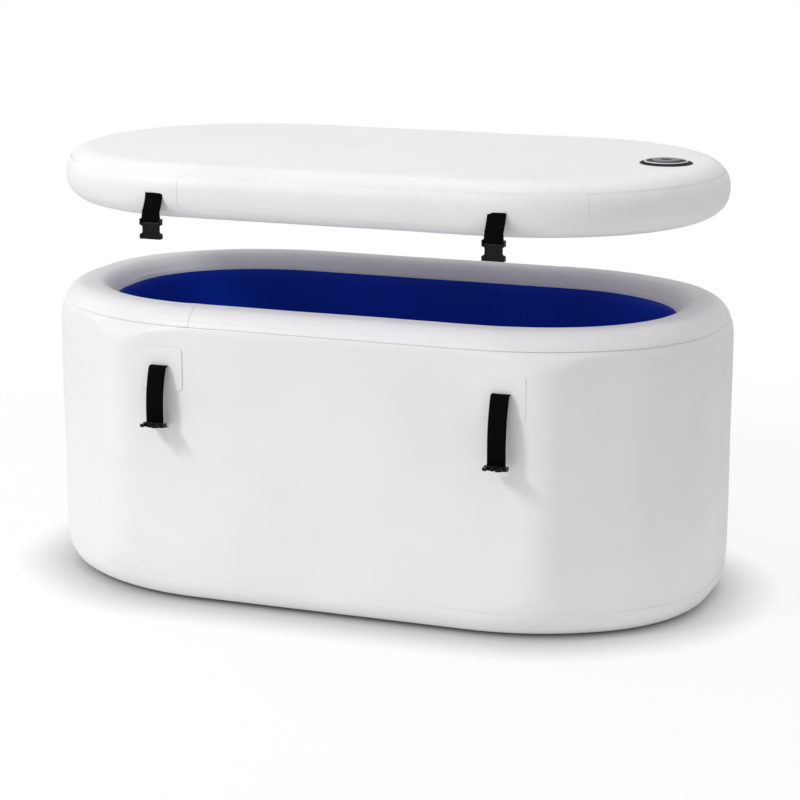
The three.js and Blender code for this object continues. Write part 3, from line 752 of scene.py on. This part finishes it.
def makeWebbing(name, walk, body, at):
    piece = finishPiece(name, webbingFrom(walk), body, blackWebbing, [body], at=at)
    solid = piece.modifiers.new("thickness", "SOLIDIFY")
    solid.thickness = strap["thickness"] * mm
    solid.offset = 0
    softenEdges(piece, strap["edge"])


def roundedPlate(width, height, thickness, corner):
    # a welded patch lying in the XZ plane, its back at Y 0 and its face towards -Y
    bm = bmesh.new()
    made = bmesh.ops.create_grid(bm, x_segments=1, y_segments=1, size=0.5)
    bmesh.ops.scale(bm, vec=(width, height, 1), verts=made["verts"])
    bmesh.ops.bevel(bm, geom=bm.verts[:], offset=corner, offset_type="OFFSET", segments=6, profile=0.5,
                    affect="VERTICES", material=-1)
    rise = bmesh.ops.extrude_face_region(bm, geom=bm.faces[:])["geom"]
    bmesh.ops.translate(bm, verts=vertsOf(rise), vec=(0, 0, thickness))
    bmesh.ops.recalc_face_normals(bm, faces=bm.faces)
    bmesh.ops.rotate(bm, cent=(0, 0, 0), matrix=Matrix.Rotation(pi / 2, 3, "X"), verts=bm.verts)
    return bm


def makePatch(side, end):
    width, height, thickness = strap["patch"]
    bm = roundedPlate(width, height, thickness, strap["patchCorner"])
    spot = Matrix.Translation((0, -tub["width"] / 2 - strap["patchGap"], strap["patchTop"] - height / 2))
    piece = finishPiece(f"strapPatch_{side}_{end}", bm, "tub", whitePvc,
                        [f"strap_patch_{side}_{end}"], at=placeAt(side, strap["onTub"][end]) @ spot)
    softenEdges(piece, strap["patchEdge"], 3)


# Side-release buckles, made with the bar at the origin and the mouth or prongs along +Y

buckle = {
    "half": 24, "ear": 3.4, "thickness": 13, "length": 39, "waist": 17.5, "waistFrom": 12, "waistTo": 26,
    "chamfer": 3, "bodyFrom": 5.6, "earTop": 3.6, "wall": 2.7, "waistWall": 3, "step": 1, "socketFloor": 3,
    "flankInset": 2.6, "flankSlope": 0.4, "flankDepth": 1.8, "ribsAt": (15.5, 19, 22.5), "rib": (20, 1.6, 1.6),
    "ribSink": 0.2, "edge": 0.6, "maleBodyFrom": 8.8, "maleThickness": 9.4, "frame": 16, "frameCut": 2,
    "tip": 42, "prong": 6, "barb": 2.4, "prongGap": 3.9, "prongRoot": 1, "prongThickness": 6.6,
    "guide": (3, 1.8), "guideBack": (8, 6), "maleTilt": 172, "maleEdge": 0.55,
}
nearlySquare, nearby = 0.95, 0.1  # how a face is told by the way it looks and by where it lies


def extrudeOutline(bm, points, thickness):
    corners = [bm.verts.new((x, y, -thickness / 2)) for x, y in points]
    face = bm.faces.new(corners)
    rise = bmesh.ops.extrude_face_region(bm, geom=[face], use_keep_orig=True)["geom"]
    bmesh.ops.translate(bm, verts=vertsOf(rise), vec=(0, 0, thickness))


def addBar(bm):
    inner = buckle["half"] - buckle["ear"] / 2
    made = bmesh.ops.create_cone(bm, cap_ends=True, segments=20, radius1=strap["barRadius"],
                                 radius2=strap["barRadius"], depth=2 * inner)
    bmesh.ops.rotate(bm, cent=(0, 0, 0), matrix=Matrix.Rotation(pi / 2, 3, "Y"), verts=made["verts"])


def earFrame(rightSide, bodyFrom):
    # a U of two ears and a body, from the right-hand points of its outer edge
    inner = buckle["half"] - buckle["ear"]
    outside = rightSide + [(-x, y) for x, y in reversed(rightSide)]
    notch = [(-inner, -buckle["earTop"]), (-inner, bodyFrom), (inner, bodyFrom), (inner, -buckle["earTop"])]
    return outside + notch


def finishBuckle(kind, side, end, bm, at, edge):
    body = f"{kind}_buckle_{side}_{end}"
    piece = finishPiece(f"{kind}Buckle_{side}_{end}", bm, body, blackAcetal, [body], at=at)
    softenEdges(piece, edge)


def makeFemale(side, end):
    bm = bmesh.new()
    half, waist, chamfer = buckle["half"], buckle["waist"], buckle["chamfer"]
    shoulder = buckle["waistTo"] + chamfer
    rightSide = [(half, -buckle["earTop"]), (half, buckle["waistFrom"] - chamfer), (waist, buckle["waistFrom"]),
                 (waist, buckle["waistTo"]), (half, shoulder), (half, buckle["length"])]
    extrudeOutline(bm, earFrame(rightSide, buckle["bodyFrom"]), buckle["thickness"])
    bmesh.ops.recalc_face_normals(bm, faces=bm.faces)
    mouth = [f for f in bm.faces if f.normal.y > nearlySquare
             and f.calc_center_median().y > buckle["length"] - nearby]
    bmesh.ops.inset_region(bm, faces=mouth, thickness=buckle["wall"], use_even_offset=True)
    deep = bmesh.ops.extrude_face_region(bm, geom=mouth)["geom"]
    bmesh.ops.translate(bm, verts=vertsOf(deep), vec=(0, shoulder - buckle["length"] + buckle["step"], 0))
    floor = [g for g in deep if isinstance(g, bmesh.types.BMFace)]
    verts = vertsOf(bmesh.ops.extrude_face_region(bm, geom=floor)["geom"])
    narrowing = (waist - buckle["waistWall"]) / (half - buckle["wall"])
    bmesh.ops.scale(bm, vec=(narrowing, 1, 1), verts=verts)
    bmesh.ops.translate(bm, verts=verts, vec=(0, buckle["waistFrom"] + buckle["socketFloor"] - shoulder, 0))
    bmesh.ops.delete(bm, geom=mouth + floor, context="FACES")  # the socket stays open
    bmesh.ops.recalc_face_normals(bm, faces=bm.faces)
    flanks = [f for f in bm.faces if abs(f.normal.x) > nearlySquare
              and abs(abs(f.calc_center_median().x) - waist) < nearby]
    for flank in flanks:
        bmesh.ops.inset_region(bm, faces=[flank], thickness=buckle["flankInset"], depth=0, use_even_offset=True)
        bmesh.ops.inset_region(bm, faces=[flank], thickness=buckle["flankSlope"], depth=-buckle["flankDepth"],
                               use_even_offset=True)
    addBar(bm)
    ribHeight = buckle["thickness"] / 2 - buckle["ribSink"]
    for y in buckle["ribsAt"]:  # grip ribs on both faces
        for face in (-1, 1):
            rib = bmesh.ops.create_cube(bm, size=1)
            bmesh.ops.scale(bm, vec=buckle["rib"], verts=rib["verts"])
            bmesh.ops.translate(bm, verts=rib["verts"], vec=(0, y, face * ribHeight))
    spot = Matrix.Translation((0, -strap["lidRoot"] - strap["lidBow"], strap["lidTop"] - strap["lidDrop"]))
    turn = Matrix.Rotation(-pi / 2, 4, "X")
    at = placeAt(side, strap["onLid"][end]) @ spot @ turn
    finishBuckle("female", side, end, bm, at, buckle["edge"])


def makeMale(side, end):
    bm = bmesh.new()
    half, waist, frameEnd, tip = buckle["half"], buckle["waist"], buckle["frame"], buckle["tip"]
    prong, barb, cut = buckle["prong"], buckle["barb"], buckle["frameCut"]
    rightSide = [(half, -buckle["earTop"]), (half, frameEnd - cut), (half - cut, frameEnd)]
    extrudeOutline(bm, earFrame(rightSide, buckle["maleBodyFrom"]), buckle["maleThickness"])
    outer, root = half - buckle["prongGap"], frameEnd - buckle["prongRoot"]
    catch = tip - (buckle["waistTo"] - buckle["waistFrom"])
    points = [(outer - prong, root), (outer - barb, root), (outer - barb, catch), (outer, catch),
              (outer, tip - prong), (waist - prong, tip), (waist - prong - barb, tip), (outer - prong, catch)]
    for sign in (-1, 1):
        extrudeOutline(bm, [(sign * x, y) for x, y in points], buckle["prongThickness"])
    wide, narrow = buckle["guide"]
    neck, nose = (tip - back for back in buckle["guideBack"])
    guide = [(-wide, root), (wide, root), (wide, neck), (narrow, nose), (-narrow, nose), (-wide, neck)]
    extrudeOutline(bm, guide, buckle["prongThickness"])
    addBar(bm)
    bmesh.ops.recalc_face_normals(bm, faces=bm.faces)
    out = strap["tubRoot"] + strap["hang"]
    spot = Matrix.Translation((0, -out, strap["tubTop"] - strap["drop"][end]))
    turn = Matrix.Rotation(radians(buckle["maleTilt"]), 4, "X")
    at = placeAt(side, strap["onTub"][end]) @ spot @ turn
    finishBuckle("male", side, end, bm, at, buckle["maleEdge"])


for side in sides:
    for end in ends:
        makePatch(side, end)
        makeWebbing(f"tubStrap_{side}_{end}", tubStrapWalk(end), f"tub_strap_{side}_{end}",
                    placeAt(side, strap["onTub"][end]))
        makeWebbing(f"lidStrap_{side}_{end}", lidStrapWalk(), f"lid_strap_{side}_{end}",
                    placeAt(side, strap["onLid"][end]))
        makeMale(side, end)
        makeFemale(side, end)
print("straps and buckles")


# Inflation valves and drain, turned about +Z with the skin's surface at height 0

# profiles are (radius, height); ribs are (count, radius, low, high, size)
valve = {
    "barrel": 24, "lidX": 617, "wallX": -150, "wallZ": 545,
    "doubler": [(24.3, 0.3), (54.6, 0.3), (56, 0.5), (55.4, 1.9), (53.5, 2.8), (24.3, 2.8)],
    "body": [(8, -40), (24, -40), (24, 3.1), (46, 3.1), (46, 5.2), (45.5, 5.7), (44.4, 5.7), (44, 5.2),
             (44, 4.4), (39.5, 4.4), (39, 5.0), (37.6, 5.0), (37, 4.4), (19, 4.4), (19, -37), (8, -37)],
    "ring": [(43.2, 4.5), (46.6, 4.5), (46.6, 5.7), (46.0, 6.4), (43.8, 6.4), (43.2, 5.7)],
    "stem": [(0, -28), (4, -28), (4, -11), (15.5, -11), (15.5, -8.4), (14.9, -8), (4, -8), (4, -1.6), (3.4, -1),
             (0, -1)],
    "cap": [(0, 4.8), (15.7, 4.8), (15.7, 2.4), (18.7, 2.4), (18.7, 4.8), (29.5, 4.8), (29.5, 7.8),
            (28.7, 8.6), (24.6, 8.6), (24.2, 8.1), (23.2, 8.1), (22.8, 8.6), (13.2, 8.6), (12.6, 8.0),
            (12.6, 7.2), (0, 7.2)],
    "capRibs": (36, 29.3, 5.0, 7.6, 0.9), "capCentre": [(0, 7.3), (12.3, 7.3), (12.3, 7.6), (0, 7.6)],
}
coil = {"wire": 0.8, "wireSteps": 10, "radius": 9, "low": -35.9, "rise": 23.8, "turns": 4, "perTurn": 24,
        "seat": -36.7}
drain = {
    "x": 200, "z": 116, "tube": 20,
    "body": [(16, -124.6), (20, -124.6), (20, 2.6), (34, 2.6), (34, 5.6), (33, 6.6), (20, 6.6), (20, 16.6),
             (16, 16.6)],
    "cap": [(0, 16.9), (20.3, 16.9), (20.3, 6.9), (24.3, 6.9), (24.3, 19.4), (22.8, 20.9), (0, 20.9)],
    "capRibs": (30, 24.3, 7.4, 19.2, 1.4),
    "nut": [(20.3, -124.3), (30, -124.3), (30, -116.3), (20.3, -116.3)],
    "nutRibs": (12, 29.6, -124, -116.6, 3.4),
    "gasket": [(20.3, 0.3), (34, 0.3), (35, 1.3), (34, 2.3), (20.3, 2.3)],
}


def turned(bm, profile, steps):
    ring = [bm.verts.new((r, 0, z)) for r, z in profile]
    edges = [bm.edges.new((a, b)) for a, b in zip(ring, ring[1:] + ring[:1])]
    bmesh.ops.spin(bm, geom=ring + edges, cent=(0, 0, 0), axis=(0, 0, 1), angle=2 * pi, steps=steps,
                   use_merge=True)
    bmesh.ops.remove_doubles(bm, verts=bm.verts, dist=0.001)
    bmesh.ops.recalc_face_normals(bm, faces=bm.faces)


def gripRibs(bm, count, radius, low, high, size):
    for k in range(count):
        rib = bmesh.ops.create_cube(bm, size=1)
        bmesh.ops.scale(bm, vec=(size, size, high - low), verts=rib["verts"])
        bmesh.ops.translate(bm, verts=rib["verts"], vec=(radius, 0, (low + high) / 2))
        turn = Matrix.Rotation(2 * pi * k / count, 3, "Z")
        bmesh.ops.rotate(bm, cent=(0, 0, 0), matrix=turn, verts=rib["verts"])


def makeTurned(name, profile, body, material, replaced, at, soften=None, ribs=None, steps=72):
    bm = bmesh.new()
    turned(bm, profile, steps)
    if ribs:
        gripRibs(bm, *ribs)
    piece = finishPiece(name, bm, body, material, replaced, at=at)
    if soften:
        softenEdges(piece, soften)


def makeSpring(prefix, body, at):
    bm = bmesh.new()
    wire = bmesh.ops.create_circle(bm, cap_ends=True, segments=coil["wireSteps"], radius=coil["wire"])["verts"]
    bmesh.ops.rotate(bm, cent=(0, 0, 0), matrix=Matrix.Rotation(pi / 2, 3, "X"), verts=wire)
    bmesh.ops.translate(bm, verts=wire, vec=(coil["radius"], 0, coil["low"]))
    steps = coil["turns"] * coil["perTurn"]
    bmesh.ops.spin(bm, geom=bm.faces[:], cent=(0, 0, 0), axis=(0, 0, 1), dvec=(0, 0, coil["rise"] / steps),
                   angle=2 * pi * coil["turns"], steps=steps, use_merge=False)
    bmesh.ops.recalc_face_normals(bm, faces=bm.faces)
    spring = finishPiece(f"{prefix}Spring", bm, body, springSteel, [f"{prefix}_spring"], at=at)
    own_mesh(spring)


def makeValve(prefix, body, at):
    makeTurned(f"{prefix}Doubler", valve["doubler"], body, blackRubber, [f"{prefix}_doubler"],
               at, soften=0.25)
    makeTurned(f"{prefix}Body", valve["body"], body, blackAcetal, [f"{prefix}_body"], at,
               soften=0.2)
    # a ring whose pale colour is a painted highlight on the flange's bevel
    makeTurned(f"{prefix}Ring", valve["ring"], body, flangeHighlightTpu, [], at, soften=0.15)
    makeTurned(f"{prefix}Stem", valve["stem"], f"{prefix}_stem", greyTpu, [f"{prefix}_stem"],
               at, soften=0.25, steps=40)
    makeTurned(f"{prefix}Cap", valve["cap"], f"{prefix}_cap", greyTpu, [f"{prefix}_cap"], at,
               soften=0.2, ribs=valve["capRibs"])
    makeTurned(f"{prefix}CapCentre", valve["capCentre"], f"{prefix}_cap", blackAcetal, [], at)
    makeSpring(prefix, body, at)


rearTurn = Matrix.Rotation(-pi / 2, 4, "X")
lidValveAt = Matrix.Translation((valve["lidX"], 0, lidTop))
wallValveAt = Matrix.Translation((valve["wallX"], tub["width"] / 2, valve["wallZ"])) @ rearTurn
drainAt = Matrix.Translation((drain["x"], tub["width"] / 2, drain["z"])) @ rearTurn
throughWall = Matrix.Translation((drain["x"], tub["width"] / 2 - tub["wall"], drain["z"])) @ rearTurn
makeValve("lid_valve", "lid", lidValveAt)
makeValve("wall_valve", "tub", wallValveAt)
pierce(lidTopSkin, lidValveAt, valve["barrel"], hole["lidDepth"])
pierce(wallSkin, wallValveAt, valve["barrel"], hole["wallDepth"])
pierce(wallSkin, drainAt, drain["tube"], hole["wallDepth"])
pierce(innerSkin, throughWall, drain["tube"], hole["wallDepth"])
makeTurned("drainBody", drain["body"], "tub", blackAcetal, ["drain_body"], drainAt, soften=0.3)
makeTurned("drainCap", drain["cap"], "drain_cap", blackAcetal, ["drain_cap"], drainAt,
           soften=0.4, ribs=drain["capRibs"])
makeTurned("drainNut", drain["nut"], "tub", blackAcetal, ["drain_nut"], drainAt,
           soften=0.6, ribs=drain["nutRibs"])
makeTurned("drainGasket", drain["gasket"], "tub", blackRubber, ["drain_gasket"], drainAt)
print("valves and drain")

kept = {"lid_valve_nut": greyTpu, "wall_valve_nut": greyTpu}
for name, material in kept.items():
    nodes[name].material_slots[0].material = material


# Stage, light and camera

stage = {"floorSize": 8, "drop": 0.0005, "white": "#fbfbfb", "glow": 0.8, "contact": 0.14, "fade": (1.1, 2.6)}


def makeFloor():
    bm = bmesh.new()
    bmesh.ops.create_grid(bm, x_segments=1, y_segments=1, size=stage["floorSize"] / 2)
    mesh = bpy.data.meshes.new("floor")
    bm.to_mesh(mesh)
    bm.free()
    floor = bpy.data.objects.new("floor", mesh)
    floor.location.z = -stage["drop"]
    bpy.context.scene.collection.objects.link(floor)
    material, tree = startMaterial("white studio floor")
    path = addNode(tree, "ShaderNodeLightPath")
    seen = addNode(tree, "ShaderNodeMath", {"operation": "MAXIMUM"}, {
        0: path.outputs["Is Camera Ray"], 1: path.outputs["Is Glossy Ray"]})
    seen = addNode(tree, "ShaderNodeMath", {"operation": "MAXIMUM"}, {
        0: seen.outputs["Value"], 1: path.outputs["Is Transmission Ray"]})
    # a soft contact shadow under the foot, on a floor that is nearly white by itself
    contact = addNode(tree, "ShaderNodeAmbientOcclusion", {"samples": 16}, {"Distance": stage["contact"]})
    matt = addNode(tree, "ShaderNodeBsdfDiffuse", None, {"Color": hexColour(stage["white"])})
    glow = addNode(tree, "ShaderNodeEmission", None, {"Color": contact.outputs["AO"], "Strength": 1.0})
    lift = addNode(tree, "ShaderNodeMath", {"operation": "MULTIPLY"}, {
        0: seen.outputs["Value"], 1: stage["glow"]})
    both = addNode(tree, "ShaderNodeMixShader", None, {
        0: lift.outputs["Value"], 1: matt.outputs["BSDF"], 2: glow.outputs["Emission"]})
    place = addNode(tree, "ShaderNodeTexCoord").outputs["Object"]
    away = addNode(tree, "ShaderNodeVectorMath", {"operation": "LENGTH"}, {0: place})
    fade = addNode(tree, "ShaderNodeMapRange", {"interpolation_type": "SMOOTHSTEP"}, {
        "Value": away.outputs["Value"], "From Min": stage["fade"][0], "From Max": stage["fade"][1]})
    clear = addNode(tree, "ShaderNodeBsdfTransparent")
    mixed = addNode(tree, "ShaderNodeMixShader", None, {
        0: fade.outputs["Result"], 1: both.outputs["Shader"], 2: clear.outputs["BSDF"]})
    addNode(tree, "ShaderNodeOutputMaterial", None, {"Surface": mixed.outputs["Shader"]})
    mesh.materials.append(material)


def makeWorld():
    world = bpy.data.worlds.new("studio")
    world.use_nodes = True
    tree = world.node_tree
    tree.nodes.clear()
    path = addNode(tree, "ShaderNodeLightPath")
    seen = addNode(tree, "ShaderNodeMath", {"operation": "MAXIMUM"}, {
        0: path.outputs["Is Camera Ray"], 1: path.outputs["Is Transmission Ray"]})
    strength = addNode(tree, "ShaderNodeMapRange", None, {
        "Value": seen.outputs["Value"], "To Min": light["world"], "To Max": 1.0})
    sky = addNode(tree, "ShaderNodeBackground", None, {
        "Color": (1, 1, 1, 1), "Strength": strength.outputs["Result"]})
    addNode(tree, "ShaderNodeOutputWorld", None, {"Surface": sky.outputs["Background"]})
    bpy.context.scene.world = world


light = {
    "world": 0.6,
    "key": {"at": (-2.9, -3.6, 3.9), "aim": (0, 0, 0.45), "size": 1.0, "watts": 112},
    "left": {"at": (-4.2, 0.4, 1.7), "aim": (-0.3, 0, 0.4), "size": 2.0, "watts": 16},
    "top": {"at": (0.3, 0.4, 4.0), "aim": (0.3, 0.4, 0), "size": 3.0, "watts": 30},
}


def makeLamp(name, facts):
    lamp = bpy.data.lights.new(name, "AREA")
    lamp.shape = "SQUARE"
    lamp.size = facts["size"]
    lamp.energy = facts["watts"]
    thing = bpy.data.objects.new(name, lamp)
    thing.location = facts["at"]
    thing.rotation_euler = (Vector(facts["aim"]) - Vector(facts["at"])).to_track_quat("-Z", "Y").to_euler()
    bpy.context.scene.collection.objects.link(thing)


view = {"yaw": 20.636, "pitch": 13.358, "distance": 5.5003, "target": (0.02003, 0, 0.3912), "lens": 110.75}


def makeCamera():
    data = bpy.data.cameras.new("photoCamera")
    data.sensor_width = 36
    data.lens = view["lens"]
    data.clip_end = 200
    yaw, pitch = radians(view["yaw"]), radians(view["pitch"])
    back = Vector((sin(yaw) * cos(pitch), -cos(yaw) * cos(pitch), sin(pitch)))
    thing = bpy.data.objects.new("photoCamera", data)
    thing.location = Vector(view["target"]) + back * view["distance"]
    thing.rotation_euler = (-back).to_track_quat("-Z", "Y").to_euler()
    bpy.context.scene.collection.objects.link(thing)
    bpy.context.scene.camera = thing


makeFloor()
makeWorld()
for lamp in ("key", "left", "top"):
    makeLamp(lamp, light[lamp])
makeCamera()
bpy.context.scene.view_settings.view_transform = "Standard"
print("stage")
